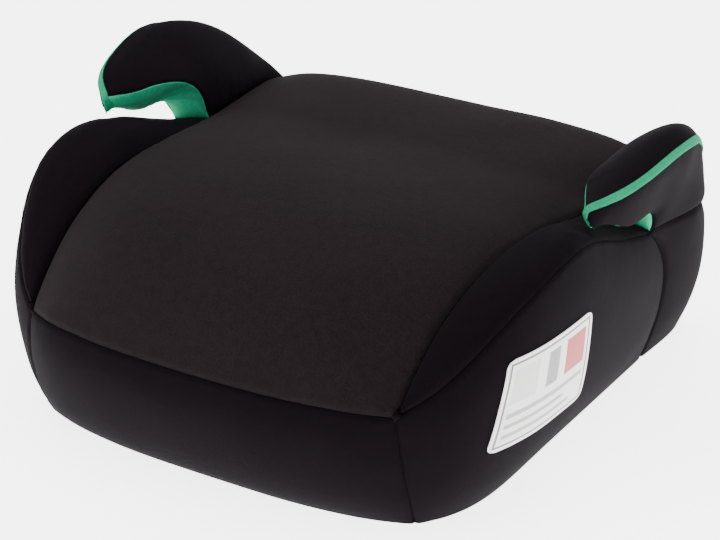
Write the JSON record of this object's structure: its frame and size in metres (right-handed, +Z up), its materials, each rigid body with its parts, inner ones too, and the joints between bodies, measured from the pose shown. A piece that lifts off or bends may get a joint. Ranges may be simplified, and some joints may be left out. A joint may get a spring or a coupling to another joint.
{
  "type": "booster seat",
  "caption": "Backless child booster cushion with a padded seat, side bolsters and two hooked armrests that guide the lap belt.",
  "frame": {"origin": "under the middle of the seat, on the surface it stands on", "axes": "+Z up, -Y towards the front edge under the child's knees, +X towards the side with the label"},
  "size_m": [0.432, 0.3889, 0.1901],
  "materials": {
    "seat_cloth": "charcoal knitted polyester, matt, slightly heathered",
    "side_cloth": "charcoal knitted polyester, matt",
    "green_cloth": "emerald green knitted polyester, matt",
    "foam": "open-cell polyurethane foam",
    "hem_binding": "black woven binding",
    "elastic": "black flat elastic",
    "shell_plastic": "black injection-moulded polypropylene, fine texture",
    "plate_plastic": "black injection-moulded polypropylene, fine texture",
    "core_plastic": "black injection-moulded polypropylene",
    "clip_plastic": "black moulded acetal",
    "screw_steel": "zinc-plated steel",
    "label_film": "white printed film, left blank",
    "orange_film": "orange printed film, left blank"
  },
  "bodies": {
    "root": {"seat_shell": "shell_plastic", "base_plate": "plate_plastic", "base_plate_screws": "screw_steel", "armrest_core_left": "core_plastic", "armrest_core_right": "core_plastic", "armrest_core_screws": "screw_steel", "armrest_padding_left": "foam", "armrest_padding_right": "foam", "seat_foam": "foam", "bolster_foam_left": "foam", "bolster_foam_right": "foam", "side_foam_left": "foam", "side_foam_right": "foam", "front_foam": "foam", "cover_seat_panel": "seat_cloth", "cover_front_panel": "side_cloth", "cover_back_panel": "side_cloth", "cover_bolster_left": "side_cloth", "cover_bolster_right": "side_cloth", "cover_side_left": "side_cloth", "cover_side_right": "side_cloth", "cover_rear_side_left": "side_cloth", "cover_rear_side_right": "side_cloth", "armrest_inner_panel_left": "side_cloth", "armrest_inner_panel_right": "side_cloth", "armrest_outer_panel_left": "side_cloth", "armrest_outer_panel_right": "side_cloth", "armrest_band_left": "green_cloth", "armrest_band_right": "green_cloth", "belt_guide_lining_left": "green_cloth", "belt_guide_lining_right": "green_cloth", "cover_hem": "hem_binding", "hem_elastic": "elastic", "cover_clips": "clip_plastic", "side_label": "label_film", "approval_sticker": "orange_film"}
  },
  "joints": []
}
